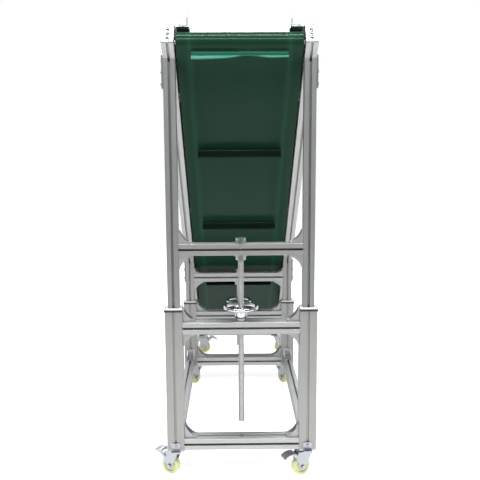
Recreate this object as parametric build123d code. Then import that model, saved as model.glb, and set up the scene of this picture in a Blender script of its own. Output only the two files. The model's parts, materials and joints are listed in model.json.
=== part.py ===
from build123d import *
import math
import os

# A climbing belt conveyor: a cleated belt between two extruded rails, carried at a slope
# by two telescopic leg frames.  A handwheel on each frame turns a nut round a lead screw
# and lifts the conveyor.  Six braked swivel castors carry the base.
# X runs across the belt, Y from the high discharge end to the low end, Z up.
# While it is built, Y is 0 at the front leg frame and Z is 0 at the ground.

# ---- overall sizes ----
slope_deg = 42.5            # climb of the belt
rail_length = 1830          # length of each side rail along the slope
belt_width = 408
frame_pitch = 906           # front leg frame to middle leg frame
head_overhang = 65          # rails' lower front corner ahead of the front leg frame
tail_height = 241           # rails' lower tail corner above the ground
tail_castor_reach = 132     # tail castors behind that corner

# ---- extruded profiles ----
profile = 40                # width of posts, beams and rails
rail_height = 80
post_x = 230                # post centre from the middle plane
sleeve_wall = 9.7           # of the telescopic sleeves
sleeve_gap = 0.3            # play between post and sleeve bore
beam_depth = 60             # depth of the beams between sleeves
slot_mouth = 8.2
slot_lip = 4.5
slot_inner = 20
slot_depth = 12.2
slot_root = 10
core_bore = 3.4             # radius of the bore down a profile's middle
edge_radius = 1.5

# ---- leg frames ----
castor_height = 101
front_sleeve_length = 495
middle_sleeve_drop = 183    # rails' underside down to the middle sleeves' top
lower_beam_drop = 69        # sleeve cap top down to the lower beam's centre line
front_upper_beam_z = 808
belt_beam_gap = 41          # belt's underside down to the middle upper beam's top
post_foot_clearance = 58    # sleeve foot up to the post foot
gasket_height = 6
gasket_lip = 2
cap_height = 5
cap_inset = 1.5
bracket_leg = 44
bracket_hollow = 5          # dip of a bracket's curved edge
bracket_belt_clearance = 2
bracket_screw_shift = 1     # screws out from the middle of a bracket's foot
bracket_width = 36
bracket_wall = 4
screw_head_radius = 5.5
screw_head_height = 4

# ---- lead screw and handwheel ----
screw_radius = 10
screw_passage = 11          # radius of the holes that the screw runs through freely
screw_tail_z = 193
screw_stub = 18             # screw above the upper beam's top, flush with the nut
thread_play = 0.06
washer_radius = 22
washer_height = 4
nut_across_flats = 30
nut_height = 14
bearing_radius = 21
bearing_height = 12
bearing_play = 0.3
wheel_radius = 60
wheel_rim = 7
wheel_hub_radius = 20
wheel_hub_height = 34
wheel_spokes = 3
wheel_rim_height = 35       # bearing top up to the rim's centre

# ---- belt and rollers ----
belt_outer_radius = 33
belt_thickness = 3
roller_play = 0.3
roller_inset = 28           # roller axis back from the rail's end
roller_height = 35          # roller axis above the rails' underside
shaft_radius = 7.5
shaft_play = 0.05
bearing_outer_radius = 16
bearing_width = 14
bearing_wall = 1
roller_belt_margin = 3      # roller shorter than the belt, each side
cleat_count = 8
cleat_start = 40            # first cleat on the return run, from the rail's end
cleat_width = 312
cleat_height = 40
cleat_thickness = 4
cleat_foot = 22
cleat_foot_height = 2
bed_thickness = 2
bed_play = 0.2
bed_margin = 5
bed_end_gap = 14
bed_lip = 14
cross_member_places = (0.14, 0.5, 0.86)

# ---- guards, plates ----
guard_x = 161               # inner face of a side guard at its foot
guard_flare = 10            # lean outwards from foot to top
guard_sheet = 2
guard_top = 178             # above the rails' underside
guard_belt_gap = 2
guard_rail_cover = 34
guard_bracket_places = (14, 470, 920, 1370, 1790)
guard_bracket_width = 30
guard_bracket_thickness = 6
guard_bracket_height = 34
guard_foot_length = 32
guard_foot_thickness = 4
end_plate = 6
end_plate_screws = (20, 40, 60)  # above the rails' underside
joint_plate = 5
joint_plate_post_run = 78
joint_plate_rail_run = 70

# ---- castors ----
castor_wheel_radius = 32.5
castor_wheel_width = 24
castor_tyre = 9             # tread's depth outside the recessed web
castor_hub_radius = 11
castor_web_recess = 3
castor_trail = 23
castor_plate = 6
castor_fork_sheet = 3
castor_fork_gap = 2
castor_fork_width = 30
castor_raceway_radius = 23
castor_raceway_height = 7
castor_axle_radius = 4
castor_play = 0.3
kingpin_radius = 6
pin_play = 0.05
tail_castor_inset = 20
pedal_length = 50           # pin to the tread's outer end
pedal_setback = 1           # tread's inner end out from the fork's pin boss
pedal_rise = 16             # pin up to the tread's inner end
pedal_droop = 12            # inner end down to the outer end
pedal_thickness = 3
pedal_ear = 2.5
pedal_pin_radius = 3
pedal_rim_gap = 9           # pedal pin's centre out from the wheel's rim
pedal_pivot_angle = 62      # round the wheel, up from level

# ---- worked out ----
slope = math.radians(slope_deg)
along = Vector(0, math.cos(slope), -math.sin(slope))
above = Vector(0, math.sin(slope), math.cos(slope))
lip = Vector(0, -head_overhang, tail_height + rail_length * math.sin(slope))
half = profile / 2
sleeve = profile + 2 * (sleeve_gap + sleeve_wall)
inner_face = post_x - half
roller_span = rail_length - 2 * roller_inset
belt_middle_radius = belt_outer_radius - belt_thickness / 2
belt_length = 2 * roller_span + 2 * math.pi * belt_middle_radius
cleat_pitch = belt_length / cleat_count
middle_y = frame_pitch
tail_y = lip.Y + rail_length * math.cos(slope) + tail_castor_reach
nodes = {}


def add(name, *shapes):
    nodes.setdefault(name, []).extend(shapes)


def slope_plane(x, u=0.0, n=0.0):
    """A plane across the belt at x: its x runs down the slope, its y away from the belt."""
    return Plane(origin=lip + along * u + above * n + Vector(x, 0, 0), x_dir=along, z_dir=(1, 0, 0))


def slope_point(x, u, n):
    return lip + along * u + above * n + Vector(x, 0, 0)


def rail_underside(y):
    """Height of the rails' underside over a place along the ground."""
    return lip.Z - (y - lip.Y) * math.tan(slope)


def cylinder(start, direction, radius, length):
    return extrude(Plane(origin=start, z_dir=direction) * Circle(radius), length)


def slot_face(distance, angle):
    """The T-slot outline in a profile's face at a distance from its middle."""
    m, i, r = slot_mouth / 2, slot_inner / 2, slot_root / 2
    shelf = distance - slot_lip
    points = [(distance + 1, -m), (shelf, -m), (shelf, -i), (shelf - 2, -i)]
    points += [(distance - slot_depth, -r), (distance - slot_depth, r)]
    points += [(shelf - 2, i), (shelf, i), (shelf, m), (distance + 1, m)]
    return Rot(0, 0, angle) * make_face(Polyline(*points, close=True))


def t_section(width, height):
    """A slotted section: one slot in the middle of each side, a bore down the middle."""
    section = RectangleRounded(width, height, edge_radius)
    for angle, distance in ((0, width / 2), (90, height / 2), (180, width / 2), (270, height / 2)):
        section -= slot_face(distance, angle)
    return section - Circle(core_bore)


def rail_section():
    """The 40 x 80 section, standing on its lower face: two slots each side, one top and bottom."""
    section = Pos(0, rail_height / 2) * RectangleRounded(profile, rail_height, edge_radius)
    section -= slot_rise(0, 180) + slot_rise(rail_height, 0)
    for height in (half, rail_height - half):
        for angle in (0, 180):
            section -= Pos(0, height) * slot_face(half, angle)
        section -= Pos(0, height) * Circle(core_bore)
    return section


def slot_rise(height, turn):
    return Pos(0, height) * Rot(0, 0, turn) * Pos(0, -half) * slot_face(half, 90)


def sleeve_section():
    """Square tube round a post, with a shallow slot down the middle of each side."""
    reach = sleeve / 2
    bore = profile + 2 * sleeve_gap
    section = RectangleRounded(sleeve, sleeve, edge_radius) - Rectangle(bore, bore)
    mouth, undercut = slot_mouth / 2, slot_mouth
    points = [(reach + 1, -mouth), (reach - 2.5, -mouth), (reach - 2.5, -undercut), (reach - 6, -undercut)]
    points += [(reach - 6, undercut), (reach - 2.5, undercut), (reach - 2.5, mouth), (reach + 1, mouth)]
    for angle in (0, 90, 180, 270):
        section -= Rot(0, 0, angle) * make_face(Polyline(*points, close=True))
    return section


def cross_beam(width, depth, y, z):
    """A slotted beam along X between two faces, centred on y and z."""
    section = t_section(depth, profile)
    return extrude(Plane(origin=(-width / 2, y, z), x_dir=(0, 1, 0), z_dir=(1, 0, 0)) * section, width)


def long_beam(x, start, end, z):
    section = t_section(profile, profile)
    return extrude(Plane(origin=(x, start, z), x_dir=(1, 0, 0), z_dir=(0, 1, 0)) * section, end - start)


def cap_screw(start, direction):
    """A socket-head screw: its head stands on a face, its shank stops in the face's slot."""
    head = cylinder(start, direction, screw_head_radius, screw_head_height)
    socket = cylinder(Vector(*start) + Vector(*direction) * (screw_head_height - 2), direction, 2.5, 3)
    return head - socket


def corner_bracket(corner, side, up, leg=bracket_leg):
    """A cast right-angle bracket in a corner: two feet and two cheeks, with its two screws."""
    width, wall = bracket_width, bracket_wall
    side, up = Vector(*side), Vector(*up)
    plane = Plane(origin=Vector(*corner), x_dir=side, z_dir=side.cross(up))
    dip = (leg + wall) / 2 - bracket_hollow
    curve = ThreePointArc((leg, wall), (dip, dip), (wall, leg))
    wedge = make_face([Polyline((wall, leg), (0, leg), (0, 0), (leg, 0), (leg, wall)), curve])
    body = extrude(plane * wedge, width / 2, both=True)
    hollow = make_face(Polyline((wall, wall), (leg + 1, wall), (leg + 1, leg + 1), (wall, leg + 1), close=True))
    body -= extrude(plane * hollow, width / 2 - wall, both=True)
    reach = (leg + wall) / 2 + bracket_screw_shift
    foot = Vector(*corner) + side * reach + up * wall
    wall_foot = Vector(*corner) + up * reach + side * wall
    return [body, cap_screw(foot, tuple(up)), cap_screw(wall_foot, tuple(side))]


def brackets_for_beam(name, inner, y, z, leg_above, leg_below):
    """Brackets at both ends of a cross beam that butts against faces at -inner and +inner."""
    for side in (-1, 1):
        for direction, leg in ((1, leg_above), (-1, leg_below)):
            corner = (side * inner, y, z + direction * half)
            if leg:
                add(name, *corner_bracket(corner, (-side, 0, 0), (0, 0, direction), leg))


# ---- leg frames ----
def leg_frame(label, y, sleeve_length, upper_beam_z, upper_bracket_leg):
    """Two sleeves with two beams, and inside them two posts with an upper beam."""
    sleeve_top = castor_height + sleeve_length
    cap_top = sleeve_top + gasket_height + cap_height
    lower_beam_z = cap_top - lower_beam_drop
    bottom_beam_z = castor_height + half
    beam_length = 2 * (post_x - sleeve / 2)
    bore = profile + 2 * sleeve_gap
    foot_z = castor_height + post_foot_clearance
    for side, word in ((-1, "left"), (1, "right")):
        x = side * post_x
        add(f"{label}_{word}_sleeve", extrude(Pos(x, y, castor_height) * sleeve_section(), sleeve_length))
        lip_size = sleeve + 2 * gasket_lip
        gasket = Box(lip_size, lip_size, gasket_height) - Box(bore, bore, gasket_height)
        gasket -= Pos(-side * sleeve, 0, 0) * Box(sleeve, 2 * sleeve, gasket_height)
        add("sleeve_gaskets", Pos(x, y, sleeve_top + gasket_height / 2) * gasket)
        cap_size = sleeve - 2 * cap_inset
        cap = Box(cap_size, cap_size, cap_height) - Box(bore, bore, cap_height)
        cap = chamfer(cap.faces().sort_by(Axis.Z)[-1].outer_wire().edges(), 3)
        add("sleeve_caps", Pos(x, y, sleeve_top + gasket_height + cap_height / 2) * cap)
        tall = extrude(Pos(x, y, foot_z) * t_section(profile, profile), lip.Z - foot_z)
        under_rail = slope_plane(x - profile) * Pos(rail_length / 2, rail_length / 2)
        tall -= extrude(under_rail * Rectangle(2 * rail_length, rail_length), 2 * profile)
        add(f"{label}_{word}_post", tall)
    passage = Pos(0, y, 0) * Cylinder(screw_passage, 3 * lip.Z)
    add(f"{label}_lower_beam", cross_beam(beam_length, beam_depth, y, lower_beam_z) - passage)
    add(f"{label}_bottom_beam", cross_beam(beam_length, beam_depth, y, bottom_beam_z) - passage)
    snug = Pos(0, y, 0) * Cylinder(screw_radius + thread_play, 3 * lip.Z)
    add(f"{label}_upper_beam", cross_beam(2 * inner_face, profile, y, upper_beam_z) - snug)
    sleeve_face = post_x - sleeve / 2
    brackets_for_beam("base_brackets", sleeve_face, y, lower_beam_z, bracket_leg, bracket_leg)
    brackets_for_beam("base_brackets", sleeve_face, y, bottom_beam_z, bracket_leg, 0)
    brackets_for_beam("lift_brackets", inner_face, y, upper_beam_z, upper_bracket_leg, bracket_leg)
    lead_screw(label, y, upper_beam_z)
    handwheel(label, y, lower_beam_z + half)


def lead_screw(label, y, beam_z):
    top = beam_z + half + screw_stub
    screw = cylinder((0, y, screw_tail_z), (0, 0, 1), screw_radius, top - screw_tail_z)
    add(f"{label}_lead_screw", chamfer(screw.edges().filter_by(GeomType.CIRCLE), 1.5))
    for direction in (1, -1):
        face = beam_z + direction * half
        hole = screw_radius + thread_play
        washer = Pos(0, y, face + direction * washer_height / 2) * Cylinder(washer_radius, washer_height)
        washer -= Pos(0, y, face) * Cylinder(hole, 4 * washer_height)
        nut_z = face + direction * (washer_height + nut_height / 2)
        nut_section = RegularPolygon(nut_across_flats / 2, 6, major_radius=False)
        nut = Pos(0, y, nut_z - nut_height / 2) * extrude(nut_section, nut_height)
        nut -= Pos(0, y, nut_z) * Cylinder(hole, 2 * nut_height)
        add("screw_nuts", washer, nut)


def handwheel(label, y, beam_top):
    """The nut that the screw runs through: a hub, dished spokes and a round rim."""
    bearing = Cylinder(bearing_radius, bearing_height) - Cylinder(screw_passage, bearing_height)
    add("thrust_bearings", Pos(0, y, beam_top + bearing_height / 2) * bearing)
    base = beam_top + bearing_height + bearing_play
    hub = Pos(0, 0, wheel_hub_height / 2) * Cylinder(wheel_hub_radius, wheel_hub_height)
    hub = chamfer(hub.edges().filter_by(GeomType.CIRCLE), 2)
    rim_centre = wheel_radius - wheel_rim
    rim = Pos(0, 0, wheel_rim_height) * Torus(rim_centre, wheel_rim)
    spoke_start = (wheel_hub_radius - 6, wheel_hub_height * 0.4)
    spoke_line = Line(spoke_start, (rim_centre, wheel_rim_height))
    wheel = hub + rim
    for turn in range(wheel_spokes):
        path = Plane.XZ * spoke_line
        section = Plane(origin=path @ 0, z_dir=path % 0) * Ellipse(5, 7)
        wheel += Rot(0, 0, 90 + 360 * turn / wheel_spokes) * sweep(section, path)
    wheel -= Cylinder(screw_radius + thread_play, 4 * wheel_hub_height)
    add(f"{label}_handwheel", Pos(0, y, base) * wheel)


# ---- base ----
def base_beams():
    bottom_z = castor_height + half
    for side in (-1, 1):
        x = side * post_x
        front_end, middle_start = sleeve / 2, middle_y - sleeve / 2
        add("side_beams", long_beam(x, front_end, middle_start, bottom_z))
        for y, direction in ((front_end, 1), (middle_start, -1)):
            corner = (x, y, bottom_z + half)
            add("base_brackets", *corner_bracket(corner, (0, direction, 0), (0, 0, 1)))
        start = middle_y + sleeve / 2
        add("tail_beams", long_beam(x, start, tail_y + beam_depth / 2, bottom_z))
        add("base_brackets", *corner_bracket((x, start, bottom_z + half), (0, 1, 0), (0, 0, 1)))
    add("tail_crossbeam", cross_beam(2 * inner_face, beam_depth, tail_y, bottom_z))
    for side in (-1, 1):
        corner = (side * inner_face, tail_y - beam_depth / 2, bottom_z)
        add("base_brackets", *corner_bracket(corner, (-side, 0, 0), (0, -1, 0)))


# ---- castors ----
def castor(label, x, y, heading):
    """A braked swivel castor: plate, fork with its axle, wheel and pedal."""
    plate_top = castor_height
    plate = Pos(0, 0, plate_top - castor_plate / 2) * Box(sleeve, sleeve, castor_plate)
    plate -= Pos(0, 0, plate_top) * Cylinder(kingpin_radius + pin_play, 3 * castor_plate)
    plate -= Pos(0, 0, plate_top) * Cylinder(kingpin_radius + 4.2, castor_plate)
    add("castor_plates", Pos(x, y, 0) * plate)
    turn = Pos(x, y, 0) * Rot(0, 0, heading)
    add(f"{label}_fork", *[turn * solid for solid in fork_solids(plate_top - castor_plate)])
    tread = Plane.XZ * Pos(castor_trail, castor_wheel_radius) * Circle(castor_wheel_radius)
    wheel = extrude(tread, castor_wheel_width / 2, both=True)
    wheel = fillet(wheel.edges().filter_by(GeomType.CIRCLE), 4)
    axle_line = Plane.XZ * Pos(castor_trail, castor_wheel_radius) * Circle(castor_axle_radius + pin_play)
    wheel -= extrude(axle_line, castor_wheel_width, both=True)
    for side in (-1, 1):
        ring = Circle(castor_wheel_radius - castor_tyre) - Circle(castor_hub_radius)
        recess = extrude(Plane.XZ * Pos(castor_trail, castor_wheel_radius) * ring, castor_web_recess, both=True)
        wheel -= Pos(0, side * castor_wheel_width / 2, 0) * recess
    add(f"{label}_wheel", turn * wheel)
    add(f"{label}_pedal", turn * brake_pedal())


def fork_solids(raceway_top):
    """Swivel head and cheeks as one pressing, with the kingpin and the axle bolt."""
    top = raceway_top - castor_play
    head = Pos(0, 0, top - castor_raceway_height / 2) * Cylinder(castor_raceway_radius, castor_raceway_height)
    head = chamfer(head.edges().group_by(Axis.Z)[0], 2)
    crown_z = top - castor_raceway_height
    inner = castor_wheel_width / 2 + castor_fork_gap
    crown_length = castor_trail + castor_fork_width / 2 + castor_raceway_radius * 0.6
    crown_middle = (castor_trail + castor_fork_width / 2 - castor_raceway_radius * 0.6) / 2
    crown = Box(crown_length, 2 * (inner + castor_fork_sheet), castor_fork_sheet)
    crown = Pos(crown_middle, 0, crown_z - castor_fork_sheet / 2) * crown
    reach = castor_fork_width / 2
    back = -castor_raceway_radius * 0.6
    pivot_x, pivot_z = pedal_pivot()
    edges = [Line((back, crown_z), (castor_trail + reach, crown_z))]
    edges += (Pos(castor_trail, castor_wheel_radius) * Circle(reach * 0.8)).edges()
    edges += (Pos(pivot_x, pivot_z) * Circle(2 * pedal_pin_radius)).edges()
    cheek = extrude(Plane.XZ * make_hull(edges), castor_fork_sheet)
    fork = head + crown
    fork += Pos(0, inner + castor_fork_sheet, 0) * cheek
    fork += Pos(0, -inner, 0) * cheek
    pin_top = castor_height - castor_plate / 2
    pin = Pos(0, 0, (top + pin_top) / 2) * Cylinder(kingpin_radius, pin_top - top)
    rivet_head = Pos(0, 0, pin_top + castor_play + 1.1) * Cylinder(kingpin_radius + 4, 2.2)
    rivet_neck = Pos(0, 0, pin_top + castor_play / 2) * Cylinder(kingpin_radius, castor_play)
    fork += pin + rivet_neck + rivet_head
    bore = Plane.XZ * Pos(castor_trail, castor_wheel_radius) * Circle(castor_axle_radius)
    fork -= extrude(bore, 2 * castor_wheel_width, both=True)
    axle = extrude(bore, inner + castor_fork_sheet, both=True)
    bolt_head = Plane.XZ * Pos(castor_trail, castor_wheel_radius) * RegularPolygon(7, 6)
    for start in (inner + castor_fork_sheet + 5, -inner - castor_fork_sheet):
        axle += Pos(0, start, 0) * extrude(bolt_head, 5)
    pin_reach = inner + castor_fork_sheet + castor_play + pedal_ear + 1
    fork += extrude(Plane.XZ * Pos(pivot_x, pivot_z) * Circle(pedal_pin_radius), pin_reach, both=True)
    return [fork, axle]


def pedal_pivot():
    """Where the pedal's pin goes through the cheeks, up and out past the wheel's rim."""
    reach = castor_wheel_radius + pedal_rim_gap
    angle = math.radians(pedal_pivot_angle)
    return castor_trail + reach * math.cos(angle), castor_wheel_radius + reach * math.sin(angle)


def brake_pedal():
    """A curved foot tread with two ears that hold the pin on the fork's outside."""
    pivot_x, pivot_z = pedal_pivot()
    inner = castor_wheel_width / 2 + castor_fork_gap + castor_fork_sheet + castor_play
    width = inner + pedal_ear
    boss = 2 * pedal_pin_radius
    start = Vector(pivot_x + boss + pedal_setback, pivot_z + pedal_rise)
    middle = start + Vector((pedal_length - boss) / 2, 0.5)
    end = Vector(pivot_x + pedal_length, pivot_z + pedal_rise - pedal_droop)
    down = Vector(0, -pedal_thickness)
    upper = ThreePointArc(start, middle, end)
    lower = ThreePointArc(end + down, middle + down, start + down)
    strip = make_face([upper, Line(end, end + down), lower, Line(start + down, start)])
    tread = extrude(Plane.XZ * strip, width, both=True)
    top = pivot_z + pedal_rise - pedal_thickness / 2
    edges = [Line((start.X + 1, top), (pivot_x + pedal_length / 2, top))]
    edges += (Pos(pivot_x, pivot_z) * Circle(boss)).edges()
    ear = extrude(Plane.XZ * make_hull(edges), pedal_ear)
    hole = Plane.XZ * Pos(pivot_x, pivot_z) * Circle(pedal_pin_radius + pin_play)
    pedal = tread + Pos(0, width, 0) * ear + Pos(0, -inner, 0) * ear
    return pedal - extrude(hole, 2 * inner, both=True)


def castors():
    headings = {
        "front_left_castor": (-post_x, 0, 156),
        "front_right_castor": (post_x, 0, 202),
        "middle_left_castor": (-post_x, middle_y, 55),
        "middle_right_castor": (post_x, middle_y, 125),
        "tail_left_castor": (-post_x + tail_castor_inset, tail_y, 0),
        "tail_right_castor": (post_x - tail_castor_inset, tail_y, 0),
    }
    for label, (x, y, heading) in headings.items():
        castor(label, x, y, heading)
    for side in (-1, 1):
        clip(side * post_x, -sleeve / 2)


def clip(x, face_y):
    """A small angle on the sleeve's front: its foot bolts down, its leg bolts into the slot."""
    leg = Pos(x, face_y - 1.5, castor_height + 13) * Box(30, 3, 26)
    foot = Pos(x, face_y - 9, castor_height - castor_plate / 2) * Box(30, 18, castor_plate)
    heel = Pos(x, face_y - 1.5, castor_height - castor_plate / 2) * Box(30, 3, castor_plate)
    add("castor_plates", leg + heel + foot)
    add("castor_plates", cap_screw((x, face_y - 3, castor_height + 15), (0, -1, 0)))


# ---- conveyor ----
def rails():
    bore_places = (roller_inset, rail_length - roller_inset)
    for side, word in ((-1, "left"), (1, "right")):
        x = side * post_x
        plane = Plane(origin=lip + Vector(x, 0, 0), x_dir=(-1, 0, 0), z_dir=along)
        rail = extrude(plane * rail_section(), rail_length)
        for u in bore_places:
            hole = Circle(bearing_outer_radius + shaft_play)
            seat = extrude(slope_plane(side * inner_face, u, roller_height) * hole, side * (bearing_width + bearing_wall))
            rail -= seat
            start = slope_plane(side * (inner_face + bearing_wall), u, roller_height)
            ring = Circle(bearing_outer_radius) - Circle(shaft_radius + shaft_play)
            add("roller_bearings", extrude(start * ring, side * bearing_width))
        add(f"{word}_rail", rail)
        for u, direction in ((0, -1), (rail_length, 1)):
            plate = slope_plane(x, u + direction * end_plate / 2, rail_height / 2)
            add("rail_end_plates", plate * Box(end_plate, rail_height, profile))
            for n in end_plate_screws:
                start = slope_point(x, u + direction * end_plate, n)
                add("rail_end_plates", cap_screw(start, tuple(along * direction)))


def bed_and_cross_members():
    bed_top = roller_height + belt_outer_radius - belt_thickness - bed_play
    start = roller_inset + belt_outer_radius + bed_end_gap
    length = rail_length - 2 * start
    width = belt_width - 2 * bed_margin
    middle = slope_plane(0, rail_length / 2, bed_top - bed_thickness / 2)
    bed = middle * Box(length, bed_thickness, width)
    for side in (-1, 1):
        lip_x = side * (width / 2 - bed_thickness / 2)
        flange = slope_plane(lip_x, rail_length / 2, bed_top - bed_lip / 2)
        bed += flange * Box(length, bed_lip, bed_thickness)
    add("slider_bed", bed)
    member_top = bed_top - bed_thickness
    for place in cross_member_places:
        plane = slope_plane(-inner_face, rail_length * place, member_top - half)
        member = extrude(plane * t_section(profile, profile), 2 * inner_face)
        notch_plane = slope_plane(0, rail_length * place, member_top)
        for side in (-1, 1):
            lip_x = side * (width / 2 - bed_thickness / 2)
            notch = Box(2 * profile, 2 * bed_lip, bed_thickness + 1)
            member -= notch_plane * Pos(0, 0, lip_x) * notch
        add("rail_cross_members", *member.solids())


def belt_and_rollers():
    middle = slope_plane(0, rail_length / 2, roller_height)
    outer = SlotCenterToCenter(roller_span, 2 * belt_outer_radius)
    hollow = SlotCenterToCenter(roller_span, 2 * (belt_outer_radius - belt_thickness))
    add("belt", extrude(middle * (outer - hollow), belt_width / 2, both=True))
    for word, u in (("head", roller_inset), ("tail", rail_length - roller_inset)):
        axis = slope_plane(0, u, roller_height)
        drum = Circle(belt_outer_radius - belt_thickness - roller_play)
        roller = extrude(axis * drum, belt_width / 2 - roller_belt_margin, both=True)
        shaft_reach = inner_face + bearing_wall + bearing_width - 1
        roller += extrude(axis * Circle(shaft_radius), shaft_reach, both=True)
        add(f"{word}_roller", roller)


def belt_frame(travel):
    """Place and outward angle on the belt's outside, after a travel from the return run's head."""
    travel = travel % belt_length
    turn = math.pi * belt_middle_radius
    if travel < roller_span:
        return roller_inset + travel, roller_height - belt_outer_radius, -90
    travel -= roller_span
    if travel < turn:
        angle = -90 + math.degrees(travel / belt_middle_radius)
        centre = rail_length - roller_inset
    elif travel < turn + roller_span:
        return rail_length - roller_inset - (travel - turn), roller_height + belt_outer_radius, 90
    else:
        angle = 90 + math.degrees((travel - turn - roller_span) / belt_middle_radius)
        centre = roller_inset
    reach = math.radians(angle)
    return centre + belt_outer_radius * math.cos(reach), roller_height + belt_outer_radius * math.sin(reach), angle


def cleats():
    for index in range(cleat_count):
        u, n, angle = belt_frame(cleat_start - roller_inset + index * cleat_pitch)
        foot = Rectangle(cleat_foot_height, cleat_foot, align=(Align.MIN, Align.CENTER))
        blade = Rectangle(cleat_height, cleat_thickness, align=(Align.MIN, Align.CENTER))
        plane = slope_plane(0, u, n) * Rot(0, 0, angle)
        add("cleats", extrude(plane * (foot + blade), cleat_width / 2, both=True))


def guards():
    """Folded sheets: a flange over each rail and belt edge, and an upright that flares outwards."""
    top = rail_height
    low = roller_height + belt_outer_radius + guard_belt_gap
    cover_end = inner_face + guard_rail_cover
    lean = math.atan2(guard_flare, guard_top - low)

    def face_at(n):
        return guard_x + guard_flare * (n - low) / (guard_top - low)

    outer = [(face_at(n) + guard_sheet, n) for n in (guard_top, top + guard_sheet)]
    outer += [(cover_end, top + guard_sheet), (cover_end, top)]
    outer += [(face_at(n) + guard_sheet, n) for n in (top, low)]
    section = [(face_at(low), low), (face_at(guard_top), guard_top)] + outer
    for side, word in ((-1, "left"), (1, "right")):
        plane = Plane(origin=lip, x_dir=(-1, 0, 0), z_dir=along)
        outline = make_face(Polyline(*[(-side * x, n) for x, n in section], close=True))
        add(f"{word}_guard", extrude(plane * outline, rail_length, dir=along))
        foot_top = top + guard_sheet
        back = face_at(foot_top) + guard_sheet
        outward = Vector(side * math.cos(lean), 0, 0) - above * math.sin(lean)
        for u in guard_bracket_places:
            stem = Plane(origin=slope_point(side * back, u, foot_top), x_dir=along * side, z_dir=outward)
            tongue = Pos(0, 1) * Rectangle(guard_bracket_width, guard_bracket_height, align=(Align.CENTER, Align.MIN))
            round_top = Pos(0, guard_bracket_height) * Circle(guard_bracket_width / 2)
            blade = extrude(stem * (tongue + round_top), guard_bracket_thickness)
            foot_x = side * (back + 1 + guard_foot_length / 2)
            foot = slope_plane(foot_x, u, foot_top + guard_foot_thickness / 2)
            foot = foot * Box(guard_bracket_width, guard_foot_thickness, guard_foot_length)
            add("guard_brackets", blade + foot)
            start = slope_point(side * post_x, u, foot_top)
            add("guard_brackets", cap_screw(start, tuple(above)))


def joint_plates():
    """Flat plates on the outside that tie each post's top to its rail, with their screws."""
    for y in (0, middle_y):
        crossing = (y - lip.Y) / math.cos(slope)
        top_z = rail_underside(y)
        for side in (-1, 1):
            x = side * (post_x + half)
            low_z = top_z - joint_plate_post_run
            start = slope_point(0, crossing - joint_plate_rail_run / 2, rail_height * 0.75)
            end = slope_point(0, crossing + joint_plate_rail_run, rail_height * 0.5)
            heel = slope_point(0, crossing + joint_plate_rail_run, 2)
            points = [(y - half, low_z), (y + half, low_z), (heel.Y, heel.Z)]
            points += [(end.Y, end.Z), (start.Y, start.Z), (y - half, start.Z - profile)]
            plane = Plane(origin=(x, 0, 0), x_dir=(0, 1, 0), z_dir=(1, 0, 0))
            outline = make_face(Polyline(*points, close=True))
            add("joint_plates", extrude(plane * outline, side * joint_plate))
            face = side * (post_x + half + joint_plate)
            for drop in (15, 55):
                add("joint_plates", cap_screw((face, y, low_z + drop), (side, 0, 0)))
            for shift in (0, joint_plate_rail_run * 0.8):
                spot = slope_point(face, crossing + shift, half)
                add("joint_plates", cap_screw(tuple(spot), (side, 0, 0)))


leg_frame("front", 0, front_sleeve_length, front_upper_beam_z, bracket_leg)
middle_top = rail_underside(middle_y)
middle_sleeve_length = middle_top - middle_sleeve_drop - castor_height
belt_low = middle_top + (roller_height - belt_outer_radius) / math.cos(slope)
low_bracket_leg = belt_beam_gap - bracket_width / 2 * math.tan(slope) - bracket_belt_clearance
leg_frame("middle", middle_y, middle_sleeve_length, belt_low - belt_beam_gap - half, low_bracket_leg)
base_beams()
castors()
rails()
bed_and_cross_members()
belt_and_rollers()
cleats()
guards()
joint_plates()

# The origin goes to the middle of the whole object's box, on the ground.
whole = Compound(children=[s for shapes in nodes.values() for shape in shapes for s in shape.solids()])
box = whole.bounding_box()
shift = Pos(-(box.min.X + box.max.X) / 2, -(box.min.Y + box.max.Y) / 2, -box.min.Z)
print("origin shift", tuple(round(v, 4) for v in shift.position))

os.makedirs("parts", exist_ok=True)
for name, shapes in nodes.items():
    solids = [shift * solid for shape in shapes for solid in shape.solids()]
    export_step(solids[0] if len(solids) == 1 else Compound(children=solids), f"parts/{name}.step")
print(len(nodes), "nodes")
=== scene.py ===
import bpy
import bmesh
import json
import math
from mathutils import Matrix, Vector


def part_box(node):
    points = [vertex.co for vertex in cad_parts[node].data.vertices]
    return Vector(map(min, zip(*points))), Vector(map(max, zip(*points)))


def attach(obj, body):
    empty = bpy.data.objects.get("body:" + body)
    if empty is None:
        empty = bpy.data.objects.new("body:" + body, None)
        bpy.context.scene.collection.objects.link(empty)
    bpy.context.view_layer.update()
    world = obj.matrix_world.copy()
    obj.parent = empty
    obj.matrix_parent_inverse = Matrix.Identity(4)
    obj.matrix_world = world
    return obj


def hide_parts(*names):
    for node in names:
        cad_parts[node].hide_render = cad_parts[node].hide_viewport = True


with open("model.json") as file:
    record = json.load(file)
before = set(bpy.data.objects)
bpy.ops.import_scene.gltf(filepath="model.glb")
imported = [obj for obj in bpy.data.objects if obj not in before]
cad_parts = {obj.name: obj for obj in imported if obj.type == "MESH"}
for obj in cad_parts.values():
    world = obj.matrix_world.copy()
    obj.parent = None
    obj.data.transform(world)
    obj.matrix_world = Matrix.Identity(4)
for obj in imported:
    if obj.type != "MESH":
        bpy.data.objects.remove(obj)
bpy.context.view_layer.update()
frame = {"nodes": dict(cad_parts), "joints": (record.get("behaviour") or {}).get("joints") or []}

# ---- Studio ----
# A white floor, two narrow strip lights over the discharge end and one wide soft box behind.
# The camera looks slightly down at the discharge end from about its own height.
scene = bpy.context.scene
scene.view_settings.view_transform = "Standard"
joint_places = {joint["name"]: Vector(joint["pos_m"]) for joint in frame["joints"] if "pos_m" in joint}
front_axis = joint_places["front_handwheel_turn"]
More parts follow.
